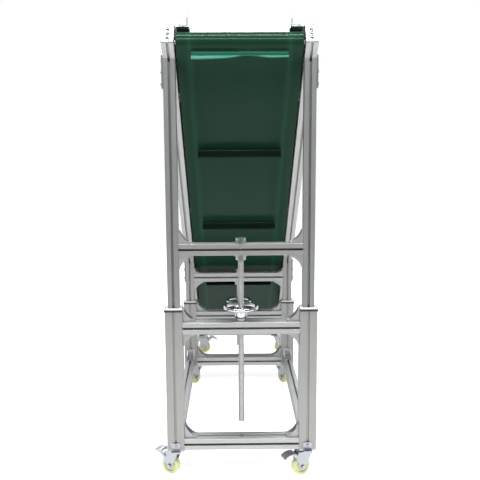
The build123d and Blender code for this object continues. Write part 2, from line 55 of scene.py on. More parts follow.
middle_axis = joint_places["middle_handwheel_turn"]

LENS = 52.0
CAMERA_BACK = 2.322
CAMERA_HEIGHT = 1.181
CAMERA_ASIDE = -0.0266
CAMERA_YAW = math.radians(-0.6)
CAMERA_PITCH = math.radians(90 - 8.4)
CAMERA_ROLL = math.radians(-0.3)
camera_data = bpy.data.cameras.new("camera")
camera_data.lens = LENS
camera = bpy.data.objects.new("camera", camera_data)
camera.location = (front_axis.x + CAMERA_ASIDE, front_axis.y - CAMERA_BACK, CAMERA_HEIGHT)
look = Matrix.Rotation(CAMERA_YAW, 4, "Z") @ Matrix.Rotation(CAMERA_PITCH, 4, "X")
camera.rotation_euler = (look @ Matrix.Rotation(CAMERA_ROLL, 4, "Z")).to_euler()
scene.collection.objects.link(camera)
scene.camera = camera

floor_mesh = bpy.data.meshes.new("floor")
FLOOR_REACH = 14.0
FLOOR_FRONT = -3.3
corners = [(-FLOOR_REACH, FLOOR_FRONT, 0), (FLOOR_REACH, FLOOR_FRONT, 0)]
corners += [(FLOOR_REACH, FLOOR_REACH, 0), (-FLOOR_REACH, FLOOR_REACH, 0)]
floor_mesh.from_pydata(corners, [], [(0, 1, 2, 3)])
floor = bpy.data.objects.new("floor", floor_mesh)
scene.collection.objects.link(floor)


def soft_box(name, place, aim, width, height, power, colour=(1, 1, 1)):
    light = bpy.data.lights.new(name, "AREA")
    light.shape = "RECTANGLE"
    light.size, light.size_y, light.energy, light.color = width, height, power, colour
    lamp = bpy.data.objects.new(name, light)
    lamp.location = place
    lamp.rotation_euler = (Vector(aim) - Vector(place)).to_track_quat("-Z", "Y").to_euler()
    scene.collection.objects.link(lamp)


soft_box("front_strip", (0.0, -3.2, 3.2), (0, -0.7, 1.2), 3.4, 0.05, 120, (0.94, 0.97, 1))
soft_box("top_strip", (0.0, -1.1, 3.5), (0, -0.6, 1.0), 3.4, 0.06, 140, (0.96, 0.98, 1))
soft_box("rear_box", (0.0, 2.6, 3.0), (0, 0.2, 0.4), 2.6, 1.4, 110, (0.86, 0.94, 1))


# ---- Studio floor paint and room ----
# Matt white paint on the floor.  The room is dim behind the camera and bright behind the
# conveyor, and plain white where the camera sees it directly.
class Value:
    """One value in a material; plus, minus and times add Math nodes, node() any other."""

    def __init__(self, tree, socket=None):
        self.tree, self.socket = tree, socket

    def node(self, kind, settings=None, inputs=None, output=0):
        made = self.tree.nodes.new(kind)
        for name, setting in (settings or {}).items():
            setattr(made, name, setting)
        for name, value in (inputs or {}).items():
            if isinstance(value, Value):
                self.tree.links.new(value.socket, made.inputs[name])
            else:
                made.inputs[name].default_value = value
        return Value(self.tree, made.outputs[output])

    def maths(self, operation, first, second):
        return self.node("ShaderNodeMath", {"operation": operation}, {0: first, 1: second})

    def __add__(self, other):
        return self.maths("ADD", self, other)

    __radd__ = __add__

    def __mul__(self, other):
        return self.maths("MULTIPLY", self, other)

    __rmul__ = __mul__

    def __sub__(self, other):
        return self.maths("SUBTRACT", self, other)

    def __rsub__(self, other):
        return self.maths("SUBTRACT", other, self)

    def blend(self, first, second):
        """Mixes two colours by this value."""
        colours = {0: self, 6: first, 7: second}
        return self.node("ShaderNodeMix", {"data_type": "RGBA"}, colours, output=2)

    def place(self, scale=(1, 1, 1), turn=(0, 0, 0)):
        """Object coordinates, turned and stretched."""
        coordinates = self.node("ShaderNodeTexCoord", output=3)
        inputs = {"Vector": coordinates, "Rotation": turn, "Scale": scale}
        return self.node("ShaderNodeMapping", {"vector_type": "POINT"}, inputs)

    def noise(self, where, scale, detail=2.0, roughness=0.5):
        inputs = {"Vector": where, "Scale": scale, "Detail": detail, "Roughness": roughness}
        return self.node("ShaderNodeTexNoise", None, inputs)

    def bump(self, height, strength, distance, under=None):
        inputs = {"Height": height, "Strength": strength, "Distance": distance}
        if under:
            inputs["Normal"] = under
        return self.node("ShaderNodeBump", None, inputs)

    def round_edges(self, radius):
        return self.node("ShaderNodeBevel", {"samples": 6}, {"Radius": radius})


def finish_of(name):
    material = bpy.data.materials.new(name)
    material.use_nodes = True
    return material, Value(material.node_tree)


def set_shader(material, **inputs):
    shader = material.node_tree.nodes["Principled BSDF"]
    for name, value in inputs.items():
        socket = shader.inputs[name.replace("_", " ")]
        if isinstance(value, Value):
            material.node_tree.links.new(value.socket, socket)
        else:
            socket.default_value = value
    return material


def coat_nodes(material, *names):
    """Gives CAD pieces their finish."""
    for name in names:
        mesh = frame["nodes"][name].data
        mesh.materials.clear()
        mesh.materials.append(material)


white_floor, paint = finish_of("floor_paint")
mottle = paint.noise(paint.place(), 1.2)
floor_tone = mottle.blend((0.66, 0.66, 0.66, 1), (0.70, 0.70, 0.70, 1))
glow = mottle.blend((0.97, 0.97, 0.97, 1), (1, 1, 1, 1))
set_shader(white_floor, Base_Color=floor_tone, Roughness=0.8, Emission_Color=glow, Emission_Strength=0.72)
floor_mesh.materials.append(white_floor)

world = bpy.data.worlds.new("room")
world.use_nodes = True
scene.world = world
air = Value(world.node_tree)
direction = air.node("ShaderNodeTexCoord", output=0)
split = direction.node("ShaderNodeSeparateXYZ", None, {0: direction}, output=1)
height = Value(world.node_tree, split.socket.node.outputs[2])
behind = direction.node("ShaderNodeMapRange", None, {0: split, 1: -0.5, 2: 0.7, 3: 0.13, 4: 1.0})
top = direction.node("ShaderNodeMapRange", None, {0: height, 1: 0.35, 2: 0.9, 3: 0.0, 4: 1.0})
room_light = behind * (1 - top) + top * 0.34
seen = direction.node("ShaderNodeLightPath", output=0)
tint = top.blend((1, 1, 1, 1), (0.93, 0.97, 1.0, 1))
backdrop = world.node_tree.nodes["Background"]
world.node_tree.links.new(tint.socket, backdrop.inputs["Color"])
strength = room_light * (1 - seen) + seen * 1.0
world.node_tree.links.new(strength.socket, backdrop.inputs["Strength"])


# ---- Extruded profiles: posts, sleeves, beams and rails ----
# Anodised aluminium, drawn through a die, so fine lines run along each length.  Cut to
# length, held by cast brackets and screws in the slots.
head_axis, tail_axis = joint_places["head_roller_turn"], joint_places["tail_roller_turn"]
along = (tail_axis - head_axis).normalized()
above = Vector((1, 0, 0)).cross(along)
slope = math.atan2(-along.z, along.y)
PROFILE_GREY = (0.345, 0.34, 0.325, 1)
PROFILE_LIGHT = (0.435, 0.435, 0.43, 1)
# The sleeve and post greys are darker copies of the same anodised grey: painted shade, with the post pair
# darker still.
SLEEVE_SHADE_GREY = (0.265, 0.26, 0.245, 1)
SLEEVE_SHADE_PALE = (0.335, 0.33, 0.315, 1)
POST_SHADE_GREY = (0.215, 0.215, 0.21, 1)
POST_SHADE_PALE = (0.30, 0.30, 0.295, 1)
DIE_LINES = 900
DIE_STRETCH = 0.012


def anodised(name, turn, dark=PROFILE_GREY, light=PROFILE_LIGHT):
    """Satin anodised metal with its die lines along the turned Z axis."""
    material, metal = finish_of(name)
    lines = metal.noise(metal.place((1, 1, DIE_STRETCH), turn), DIE_LINES, 1.0)
    cloud = metal.noise(metal.place(), 7.0, 3.0)
    rub_marks_and_sheen = metal.noise(metal.place((1, 1, 0.12), turn), 60.0, 4.0, 0.65)
    tone = (lines * 0.35 + cloud * 0.4 + rub_marks_and_sheen * 0.25).blend(dark, light)
    roughness = lines * 0.14 + rub_marks_and_sheen * 0.10 + 0.34
    normal = metal.bump(lines, 0.22, 0.0002, metal.round_edges(0.0009))
    return set_shader(material, Base_Color=tone, Metallic=0.7, Roughness=roughness, Normal=normal)


QUARTER = math.pi / 2
# Sleeves, middle posts and the lifted beam take the painted-shade sleeve greys. The front posts take the
# darker painted-shade post greys.
sleeve_shade_profile = anodised("anodised_painted_shade_sleeve", (0, 0, 0), SLEEVE_SHADE_GREY, SLEEVE_SHADE_PALE)
post_shade_profile = anodised("anodised_painted_shade_post", (0, 0, 0), POST_SHADE_GREY, POST_SHADE_PALE)
cross_profile = anodised("anodised_across", (0, QUARTER, 0))
lifted_beam_shade_profile = anodised("anodised_painted_shade_lifted_beam", (0, QUARTER, 0), SLEEVE_SHADE_GREY, SLEEVE_SHADE_PALE)
long_profile = anodised("anodised_lengthways", (QUARTER, 0, 0))
rail_profile = anodised("anodised_rail", (QUARTER + slope, 0, 0))
for side in ("left", "right"):
    coat_nodes(sleeve_shade_profile, f"front_{side}_sleeve", f"middle_{side}_sleeve", f"middle_{side}_post")
    coat_nodes(post_shade_profile, f"front_{side}_post")
    coat_nodes(rail_profile, f"{side}_rail")
for leg in ("front", "middle"):
    coat_nodes(cross_profile, f"{leg}_lower_beam", f"{leg}_bottom_beam")
coat_nodes(lifted_beam_shade_profile, "front_upper_beam")
coat_nodes(cross_profile, "middle_upper_beam", "tail_crossbeam", "rail_cross_members")
coat_nodes(long_profile, "side_beams", "tail_beams")


# ---- Gaskets and caps on the sleeves ----
# A black rubber wiper on each sleeve's top, held down by a light moulded cap.
def moulded(name, dark, light, roughness, grain, bump_depth):
    material, plastic = finish_of(name)
    speckle = plastic.noise(plastic.place(), grain, 2.0)
    cloud = plastic.noise(plastic.place(), 18.0, 3.0)
    tone = (speckle * 0.4 + cloud * 0.6).blend(dark, light)
    normal = plastic.bump(speckle, 0.3, bump_depth, plastic.round_edges(0.0006))
    return set_shader(material, Base_Color=tone, Roughness=cloud * 0.15 + roughness, Normal=normal)


rubber = moulded("wiper_rubber", (0.012, 0.012, 0.012, 1), (0.03, 0.03, 0.03, 1), 0.55, 900, 0.0002)
nylon = moulded("cap_nylon", (0.52, 0.52, 0.51, 1), (0.62, 0.62, 0.61, 1), 0.38, 700, 0.0001)
coat_nodes(rubber, "sleeve_gaskets")
coat_nodes(nylon, "sleeve_caps")


# ---- Cast brackets ----
# Die-cast right-angle brackets, shot-blasted to a satin grain, each with two socket screws.
cast_metal, casting = finish_of("cast_bracket_metal")
sand = casting.noise(casting.place(), 1400.0, 2.0)
flow = casting.noise(casting.place(), 45.0, 3.0)
cast_tone = flow.blend((0.30, 0.305, 0.31, 1), (0.44, 0.44, 0.44, 1))
cast_normal = casting.bump(sand, 0.35, 0.0002, casting.round_edges(0.0012))
set_shader(cast_metal, Base_Color=cast_tone, Metallic=0.9, Roughness=sand * 0.2 + 0.36, Normal=cast_normal)
coat_nodes(cast_metal, "base_brackets", "lift_brackets")


# ---- Plates: joint plates and rail end plates ----
# Milled aluminium plate, bolted over the rails' ends and over each post's top.
plate_metal, milled = finish_of("milled_plate")
rings = {"Vector": milled.place(), "Scale": 260.0, "Distortion": 3.0, "Detail": 1.0}
mill_marks = milled.node("ShaderNodeTexWave", {"wave_type": "RINGS"}, rings)
plate_cloud = milled.noise(milled.place(), 30.0, 3.0)
plate_tone = plate_cloud.blend((0.20, 0.21, 0.22, 1), (0.29, 0.30, 0.31, 1))
plate_normal = milled.bump(mill_marks, 0.12, 0.0001, milled.round_edges(0.0008))
plate_gloss = mill_marks * 0.08 + 0.36
set_shader(plate_metal, Base_Color=plate_tone, Metallic=0.9, Roughness=plate_gloss, Normal=plate_normal)
coat_nodes(plate_metal, "joint_plates", "rail_end_plates")


# ---- Zinc-plated steel: nuts, castor plates and forks, bearings ----
# Bright zinc over pressed or turned steel, with faint spangle and handling marks.
def plated(name, dark, light, roughness, edge=0.0007):
    material, steel = finish_of(name)
    cells = {"Vector": steel.place(), "Scale": 260.0}
    spangle = steel.node("ShaderNodeTexVoronoi", {"feature": "F1"}, cells, output=1)
    grey = steel.node("ShaderNodeRGBToBW", None, {0: spangle})
    cloud = steel.noise(steel.place(), 40.0, 4.0, 0.6)
    tone = (grey * 0.35 + cloud * 0.65).blend(dark, light)
    normal = steel.bump(cloud, 0.15, 0.0003, steel.round_edges(edge))
    gloss = cloud * 0.22 + roughness
    return set_shader(material, Base_Color=tone, Metallic=1.0, Roughness=gloss, Normal=normal)


zinc = plated("zinc_plate", (0.25, 0.262, 0.275, 1), (0.44, 0.455, 0.47, 1), 0.22)
castors = sorted({name[:-5] for name in frame["nodes"] if name.endswith("castor_fork")})
coat_nodes(zinc, "castor_plates", "screw_nuts", "roller_bearings", "thrust_bearings")
coat_nodes(zinc, *[f"{castor}_{part}" for castor in castors for part in ("fork", "pedal")])
roller_steel = plated("roller_steel", (0.34, 0.345, 0.35, 1), (0.46, 0.465, 0.47, 1), 0.3)
coat_nodes(roller_steel, "head_roller", "tail_roller")


# ---- Side guards and slider bed ----
# Folded stainless sheet, brushed along its length, on bolted tongues along the rails.
def brushed_sheet(name, dark, light):
    material, sheet = finish_of(name)
    strokes = sheet.noise(sheet.place((1, 1, 0.02), (QUARTER + slope, 0, 0)), 1300.0, 2.0)
    smudge = sheet.noise(sheet.place(), 9.0, 4.0, 0.6)
    tone = (strokes * 0.5 + smudge * 0.5).blend(dark, light)
    normal = sheet.bump(strokes, 0.2, 0.0001)
    return set_shader(material, Base_Color=tone, Metallic=1.0, Roughness=smudge * 0.2 + 0.22, Normal=normal)


guard_steel = brushed_sheet("brushed_stainless", (0.50, 0.505, 0.51, 1), (0.64, 0.645, 0.65, 1))
coat_nodes(guard_steel, "left_guard", "right_guard", "slider_bed")
# The guard brackets get a dark copy of the brushed stainless: painted shade.
coat_nodes(brushed_sheet("bracket_painted_shade", (0.10, 0.10, 0.105, 1), (0.20, 0.20, 0.205, 1)), "guard_brackets")


# ---- Belt ----
# One endless loop of belt with a green PVC face, run round both rollers.  It hangs slightly
# slack on its way back.  Two lighter lines past the cleats' ends are painted sheen, the side guides' shine
# on the belt.
BELT_ARC_STEPS = 40
BELT_RUN_STEPS = 90
BELT_SLACK = 0.0015
BELT_GREEN = (0.0085, 0.034, 0.0185, 1)
BELT_DEEP = (0.0060, 0.025, 0.0135, 1)
# Lighter green of the two painted sheen lines.
BELT_SHEEN_GREEN = (0.011, 0.056, 0.034, 1)
SHEEN_LINE_PLACE = 0.162
SHEEN_LINE_WIDTH = 0.016


def new_piece(name, mesh, body, material=None, smooth=True):
    """Links a finished mesh at the origin and lets it ride on a CAD body."""
    piece = bpy.data.objects.new(name, mesh)
    scene.collection.objects.link(piece)
    if material:
        mesh.materials.append(material)
    for face in mesh.polygons:
        face.use_smooth = smooth
    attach(piece, body)
    return piece


def sharpen(mesh, degrees):
    """Marks the edges that turn by more than an angle, so that only curves shade smooth."""
    mesh.set_sharp_from_angle(angle=math.radians(degrees))


def loop_mesh(name, outline, thickness_points, width_places):
    """A closed band: matching outer and inner outlines, one ring of points per width place."""
    count = len(outline)
    vertices, faces = [], []
    for x in width_places:
        vertices += [Vector((x, 0, 0)) + point for point in outline]
        vertices += [Vector((x, 0, 0)) + point for point in thickness_points]
    ring = 2 * count
    for row in range(len(width_places) - 1):
        for i in range(count):
            j = (i + 1) % count
            a, b = row * ring, (row + 1) * ring
            faces.append((a + i, b + i, b + j, a + j))
            faces.append((a + count + i, a + count + j, b + count + j, b + count + i))
    last = (len(width_places) - 1) * ring
    for i in range(count):
        j = (i + 1) % count
        faces.append((i, j, count + j, count + i))
        faces.append((last + i, last + count + i, last + count + j, last + j))
    mesh = bpy.data.meshes.new(name)
    mesh.from_pydata(vertices, [], faces)
    tidy_normals(mesh)
    return mesh


def tidy_normals(mesh):
    work = bmesh.new()
    work.from_mesh(mesh)
    bmesh.ops.remove_doubles(work, verts=work.verts, dist=1e-6)
    bmesh.ops.recalc_face_normals(work, faces=work.faces)
    work.to_mesh(mesh)
    work.free()


belt_low, belt_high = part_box("belt")
belt_radius = (belt_high.z - belt_low.z - (head_axis.z - tail_axis.z)) / 2
roller_low, roller_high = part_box("head_roller")
belt_inner_radius = (roller_high.z - roller_low.z) / 2 + 0.0003


def belt_outline(radius, slack):
    """The belt's side view: down the return run, round the tail, up the carrying run."""
    points = []
    for step in range(BELT_RUN_STEPS):
        share = step / BELT_RUN_STEPS
        sag = slack * math.sin(math.pi * share) ** 2
        points.append(head_axis.lerp(tail_axis, share) - above * (radius + sag))
    for step in range(BELT_ARC_STEPS):
        angle = math.pi * step / BELT_ARC_STEPS
        points.append(tail_axis + radius * (along * math.sin(angle) - above * math.cos(angle)))
    for step in range(BELT_RUN_STEPS):
        points.append(tail_axis.lerp(head_axis, step / BELT_RUN_STEPS) + above * radius)
    for step in range(BELT_ARC_STEPS):
        angle = math.pi * step / BELT_ARC_STEPS
        points.append(head_axis + radius * (above * math.cos(angle) - along * math.sin(angle)))
    return [Vector((0, point.y, point.z)) for point in points]


belt_width = belt_high.x - belt_low.x
belt_places = [belt_low.x + belt_width * share for share in (0, 0.003, 0.25, 0.5, 0.75, 0.997, 1)]
face_outline = belt_outline(belt_radius, BELT_SLACK)
back_outline = belt_outline(belt_inner_radius, BELT_SLACK)
belt_mesh = loop_mesh("belt_loop", face_outline, back_outline, belt_places)
belt_pvc, pvc = finish_of("belt_pvc")
orange_peel = pvc.noise(pvc.place(), 420.0, 2.0)
wide_cloud = pvc.noise(pvc.place((1, 0.5, 0.5)), 5.0, 3.0)
scuffs = pvc.noise(pvc.place((1, 0.06, 0.06)), 90.0, 4.0, 0.7)
belt_base_tone = (wide_cloud * 0.7 + scuffs * 0.3).blend(BELT_DEEP, BELT_GREEN)
# Painted sheen: two lighter lines past the cleats' ends, where the side guides shine on the belt, broken up
# by the scuff noise.
across = pvc.node("ShaderNodeSeparateXYZ", None, {0: pvc.place()}) - (belt_low.x + belt_width / 2)
sheen_line_distance = across.maths("ABSOLUTE", across, 0.0) - SHEEN_LINE_PLACE
sheen_line_distance = sheen_line_distance.maths("ABSOLUTE", sheen_line_distance, 0.0)
fade = {0: sheen_line_distance, 1: 0.0, 2: SHEEN_LINE_WIDTH, 3: 1.0, 4: 0.0}
rub_marks_and_sheen = pvc.node("ShaderNodeMapRange", {"interpolation_type": "SMOOTHSTEP"}, fade)
belt_tone = (rub_marks_and_sheen * scuffs).blend(belt_base_tone, BELT_SHEEN_GREEN)
ripple = pvc.noise(pvc.place((1, 0.25, 0.25)), 9.0, 1.0)
belt_normal = pvc.bump(orange_peel, 0.05, 0.0002, pvc.bump(ripple, 0.16, 0.004))
belt_gloss = scuffs * 0.12 + 0.12
set_shader(belt_pvc, Base_Color=belt_tone, Roughness=belt_gloss, Normal=belt_normal, Specular_IOR_Level=0.08)
belt = new_piece("conveyor_belt", belt_mesh, "lifting_frame", belt_pvc)
sharpen(belt_mesh, 40)
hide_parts("belt")


# ---- Cleats ----
# Soft PVC strips welded across the belt at an even pitch.  Each has a wide foot and a root
# that thins into the blade.  The one under the head has a lighter green, painted light where the overhead
# light reaches it, and its free edge dips.  The others have a green darker than the belt's, painted shade
# where the belt blocks the overhead light.
CLEAT_FOOT_HALF = 0.011
CLEAT_FOOT_HEIGHT = 0.002
CLEAT_HEIGHT = 0.040
CLEAT_ROOT = 0.006
CLEAT_HALF_THICK = 0.002
CLEAT_FILLET = 0.006
CLEAT_STEPS = 48
# Cleat greens: a painted-shade copy, darker than the belt, for the cleats down the slope, and a
# painted-light copy for the one under the head.
CLEAT_SHADE_GREEN = (0.0050, 0.0150, 0.0100, 1)
CLEAT_SHADE_DEEP = (0.0036, 0.0105, 0.0072, 1)
CLEAT_LIT_GREEN = (0.014, 0.125, 0.078, 1)
CLEAT_LIT_DEEP = (0.010, 0.092, 0.057, 1)
WAVE_DEPTH = 0.0115
WAVE_TILT = 0.008
WAVE_MIDDLE = 0.58
WAVE_HALF_WIDTH = 0.26


def cleat_section(height):
    """Half a cleat's outline from the foot's edge to the tip, as (side, up) pairs."""
    points = [(CLEAT_FOOT_HALF, 0), (CLEAT_FOOT_HALF, CLEAT_FOOT_HEIGHT * 0.6)]
    points.append((CLEAT_ROOT, CLEAT_FOOT_HEIGHT))
    for step in range(1, 5):
        bend = math.pi / 2 * step / 4
        side = CLEAT_ROOT - (CLEAT_ROOT - CLEAT_HALF_THICK) * math.sin(bend)
        points.append((side, CLEAT_FOOT_HEIGHT + CLEAT_FILLET * (1 - math.cos(bend))))
    points += [(CLEAT_HALF_THICK * 0.8, height * share) for share in (0.4, 0.6, 0.8)]
    points += [(CLEAT_HALF_THICK * 0.75, height - 0.0008), (CLEAT_HALF_THICK * 0.35, height)]
    return points


def edge_dip(share):
    """How far the first cleat's free edge dips, from a flat end over a smooth hollow."""
    reach = min(abs(share - WAVE_MIDDLE) / WAVE_HALF_WIDTH, 1.0)
    return WAVE_DEPTH * (0.5 + 0.5 * math.cos(math.pi * reach)) + WAVE_TILT * (1 + share)


def add_cleat(vertices, faces, centre, width, forward, up, dip, lean):
    """One cleat standing on the belt; its blade leans and its free edge dips along its width."""
    start = len(vertices)
    for step in range(CLEAT_STEPS + 1):
        share = step / CLEAT_STEPS
        height = CLEAT_HEIGHT - dip(share)
        tip_shift = lean * math.sin(3 * math.pi * share + 0.6)
        half = cleat_section(height)
        outline = half + [(-side, rise) for side, rise in reversed(half)]
        for side, rise in outline:
            push = tip_shift * (rise / CLEAT_HEIGHT) ** 2
            place = centre + forward * (side + push) + up * rise
            vertices.append(place + Vector((width * (share - 0.5), 0, 0)))
    count = 2 * len(cleat_section(CLEAT_HEIGHT))
    for step in range(CLEAT_STEPS):
        for i in range(count):
            a, b = start + step * count + i, start + step * count + (i + 1) % count
            faces.append((a, b, b + count, a + count))
    faces.append(tuple(start + i for i in range(count)))
    end = start + CLEAT_STEPS * count
    faces.append(tuple(end + i for i in reversed(range(count))))


cleat_low, cleat_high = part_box("cleats")
cleat_width = cleat_high.x - cleat_low.x
cleat_middle_x = (cleat_high.x + cleat_low.x) / 2
run = (tail_axis - head_axis).length
plies_radius = (belt_radius + belt_inner_radius) / 2
loop_length = 2 * run + 2 * math.pi * plies_radius
CLEAT_COUNT = 8
FIRST_CLEAT = 0.012
cleat_vertices, cleat_faces = [], []
for index in range(CLEAT_COUNT):
    travel = FIRST_CLEAT + index * loop_length / CLEAT_COUNT
    if travel < run:
        centre, up, forward = head_axis + along * travel - above * belt_radius, -above, along
    else:
        back = travel - run - math.pi * plies_radius
        centre, up, forward = tail_axis - along * back + above * belt_radius, above, -along
    centre = Vector((cleat_middle_x, centre.y, centre.z))
    if index == 0:
        add_cleat(cleat_vertices, cleat_faces, centre, cleat_width, forward, up, edge_dip, 0.002)
        lit_cleat_faces = len(cleat_faces)
    else:
        lean = 0.0015 * math.sin(2.3 * index)
        add_cleat(cleat_vertices, cleat_faces, centre, cleat_width, forward, up, lambda share: 0.0, lean)


def cleat_finish(name, deep, green, shine):
    material, soft_pvc = finish_of(name)
    streaks = soft_pvc.noise(soft_pvc.place((0.15, 1, 1)), 160.0, 3.0)
    haze = soft_pvc.noise(soft_pvc.place(), 22.0, 2.0)
    tone = (streaks * 0.4 + haze * 0.6).blend(deep, green)
    normal = soft_pvc.bump(streaks, 0.1, 0.0004)
    gloss = haze * 0.12 + 0.3
    return set_shader(material, Base_Color=tone, Roughness=gloss, Normal=normal, Specular_IOR_Level=shine)


cleat_mesh = bpy.data.meshes.new("cleat_strips")
cleat_mesh.from_pydata(cleat_vertices, [], cleat_faces)
# The painted-shade finish for every cleat, then the painted-light finish for the first one.
cleat_mesh.materials.append(cleat_finish("cleat_pvc", CLEAT_SHADE_DEEP, CLEAT_SHADE_GREEN, 0.08))
cleat_mesh.materials.append(cleat_finish("painted_light_cleat_pvc", CLEAT_LIT_DEEP, CLEAT_LIT_GREEN, 0.14))
cleat_mesh.materials.append(belt_pvc)
section_count = 2 * len(cleat_section(CLEAT_HEIGHT))
for face in cleat_mesh.polygons:
    on_foot = min(face.index % section_count, section_count - 1 - face.index % section_count) < 3
    # The first cleat's faces take the painted-light finish, and its foot takes the belt's own PVC.
    if face.index < lit_cleat_faces:
        face.material_index = 2 if on_foot else 1
tidy_normals(cleat_mesh)
cleats = new_piece("belt_cleats", cleat_mesh, "lifting_frame")
sharpen(cleat_mesh, 50)
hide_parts("cleats")


# ---- Lead screws ----
# Turned steel bar with a trapezoidal thread.  A helix tree sweeps the thread's ridge round
# a plain core.
THREAD_PITCH = 0.004
THREAD_DEPTH = 0.0017
THREAD_STEPS = 20


def tree_socket(tree, name, kind, default):
    socket = tree.interface.new_socket(name=name, in_out="INPUT", socket_type=kind)
    if default is not None:
        socket.default_value = default
    return socket.identifier


def thread_tree():
    tree = bpy.data.node_groups.new("screw_thread", "GeometryNodeTree")
    tree.interface.new_socket(name="Geometry", in_out="OUTPUT", socket_type="NodeSocketGeometry")
    names = {}
    sizes = {"Length": 0.5, "Core Radius": 0.008, "Pitch": THREAD_PITCH, "Depth": THREAD_DEPTH}
    for name, value in sizes.items():
        names[name] = tree_socket(tree, name, "NodeSocketFloat", value)
    names["Steel"] = tree_socket(tree, "Steel", "NodeSocketMaterial", None)
    start = Value(tree, tree.nodes.new("NodeGroupInput").outputs[0])
    group = start.socket.node
    length, core, pitch, depth = [Value(tree, group.outputs[i]) for i in range(4)]
    helix_inputs = {"Resolution": THREAD_STEPS, "Rotations": length * (1 / THREAD_PITCH)}
    helix_inputs.update({"Start Radius": core, "End Radius": core, "Height": length})
    helix = start.node("GeometryNodeCurveSpiral", None, helix_inputs)
    upright = start.node("GeometryNodeSetCurveNormal", {"mode": "Z_UP"}, {"Curve": helix})
    shape_inputs = {"Bottom Width": pitch * 0.62, "Top Width": pitch * 0.36}
    shape_inputs.update({"Height": depth * 2, "Offset": 0.0})
    ridge = start.node("GeometryNodeCurvePrimitiveQuadrilateral", {"mode": "TRAPEZOID"}, shape_inputs)
    ridge_turn = start.node("GeometryNodeTransform", None, {"Geometry": ridge, "Rotation": (0, 0, QUARTER)})
    sweep_inputs = {"Curve": upright, "Profile Curve": ridge_turn, "Fill Caps": True}
    swept = start.node("GeometryNodeCurveToMesh", None, sweep_inputs)
    bar_inputs = {"Vertices": 48, "Radius": core, "Depth": length + pitch}
    bar = start.node("GeometryNodeMeshCylinder", None, bar_inputs)
    lift = start.node("ShaderNodeCombineXYZ", None, {2: length * 0.5})
    moved = start.node("GeometryNodeTransform", None, {"Geometry": bar, "Translation": lift})
    join = tree.nodes.new("GeometryNodeJoinGeometry")
    tree.links.new(swept.socket, join.inputs[0])
    tree.links.new(moved.socket, join.inputs[0])
    real = start.node("GeometryNodeRealizeInstances", None, {0: Value(tree, join.outputs[0])})
    steel = Value(tree, group.outputs[4])
    done = start.node("GeometryNodeSetMaterial", None, {"Geometry": real, "Material": steel})
    end = tree.nodes.new("NodeGroupOutput")
    tree.links.new(done.socket, end.inputs[0])
    return tree, names


def grown_mesh(name, tree, values):
    """Runs a geometry tree once and returns its result as a plain mesh."""
    holder = bpy.data.objects.new(name, bpy.data.meshes.new(name))
    scene.collection.objects.link(holder)
    modifier = holder.modifiers.new("grow", "NODES")
    modifier.node_group = tree
    for identifier, value in values.items():
        modifier[identifier] = value
    graph = bpy.context.evaluated_depsgraph_get()
    graph.update()
    mesh = bpy.data.meshes.new_from_object(holder.evaluated_get(graph), depsgraph=graph)
    mesh.name = name
    holder.modifiers.clear()
    bpy.data.objects.remove(holder)
    return mesh


screw_steel = plated("screw_steel", (0.40, 0.40, 0.39, 1), (0.54, 0.54, 0.53, 1), 0.3, 0.0003)
thread, thread_inputs = thread_tree()
for leg in ("front", "middle"):
    low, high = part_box(f"{leg}_lead_screw")
    radius = (high.x - low.x) / 2
    threaded = high.z - low.z - 2 * THREAD_PITCH
    values = {thread_inputs["Length"]: threaded, thread_inputs["Core Radius"]: radius - THREAD_DEPTH}
    values.update({thread_inputs["Pitch"]: THREAD_PITCH, thread_inputs["Depth"]: THREAD_DEPTH})
    values[thread_inputs["Steel"]] = screw_steel
    screw_mesh = grown_mesh(f"{leg}_threaded_bar", thread, values)
    centre = (low + high) / 2
    screw_mesh.transform(Matrix.Translation((centre.x, centre.y, low.z + THREAD_PITCH)))
    screw = new_piece(f"{leg}_threaded_bar", screw_mesh, "lifting_frame", smooth=False)
    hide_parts(f"{leg}_lead_screw")


# ---- Handwheels ----
# Dished three-spoke handwheels, cast in one piece, polished and chromed.  The hub is the
# nut, so the spokes and rim are blended into it with fillets.
WHEEL_RIM_RADIUS = 0.007
WHEEL_SPOKES = 3
WHEEL_GRAIN = 0.0011


def turned(name, profile_points, steps=64, closed=False):
    """Spins (radius, height) points round the Z axis into a closed turned part."""
    count = len(profile_points)
    vertices, faces = [], []
    for step in range(steps):
        angle = 2 * math.pi * step / steps
        vertices += [(r * math.cos(angle), r * math.sin(angle), z) for r, z in profile_points]
    spans = count if closed else count - 1
    for step in range(steps):
        a, b = step * count, ((step + 1) % steps) * count
        for i in range(spans):
            j = (i + 1) % count
            faces.append((a + i, b + i, b + j, a + j))
    mesh = bpy.data.meshes.new(name)
    mesh.from_pydata(vertices, [], faces)
    tidy_normals(mesh)
    return mesh


def spoke_mesh(name, start, end, wide, thick, steps=14, sides=20):
    """A dished spoke: an oval bar that leaves the hub low and rises to the rim."""
    vertices, faces = [], []
    for step in range(steps + 1):
        share = step / steps
        rise = start.z + (end.z - start.z) * (3 * share ** 2 - 2 * share ** 3)
        centre = Vector((start.x + (end.x - start.x) * share, 0, rise))
        flare = 1 + 0.45 * abs(2 * share - 1) ** 3
        for side in range(sides):
            angle = 2 * math.pi * side / sides
            around = Vector((0, wide * math.cos(angle), thick * math.sin(angle)))
            vertices.append(centre + flare * around)
    for step in range(steps):
        for side in range(sides):
            a, b = step * sides + side, step * sides + (side + 1) % sides
            faces.append((a, b, b + sides, a + sides))
    faces.append(tuple(range(sides)))
    faces.append(tuple(steps * sides + side for side in reversed(range(sides))))
    mesh = bpy.data.meshes.new(name)
    mesh.from_pydata(vertices, [], faces)
    tidy_normals(mesh)
    return mesh


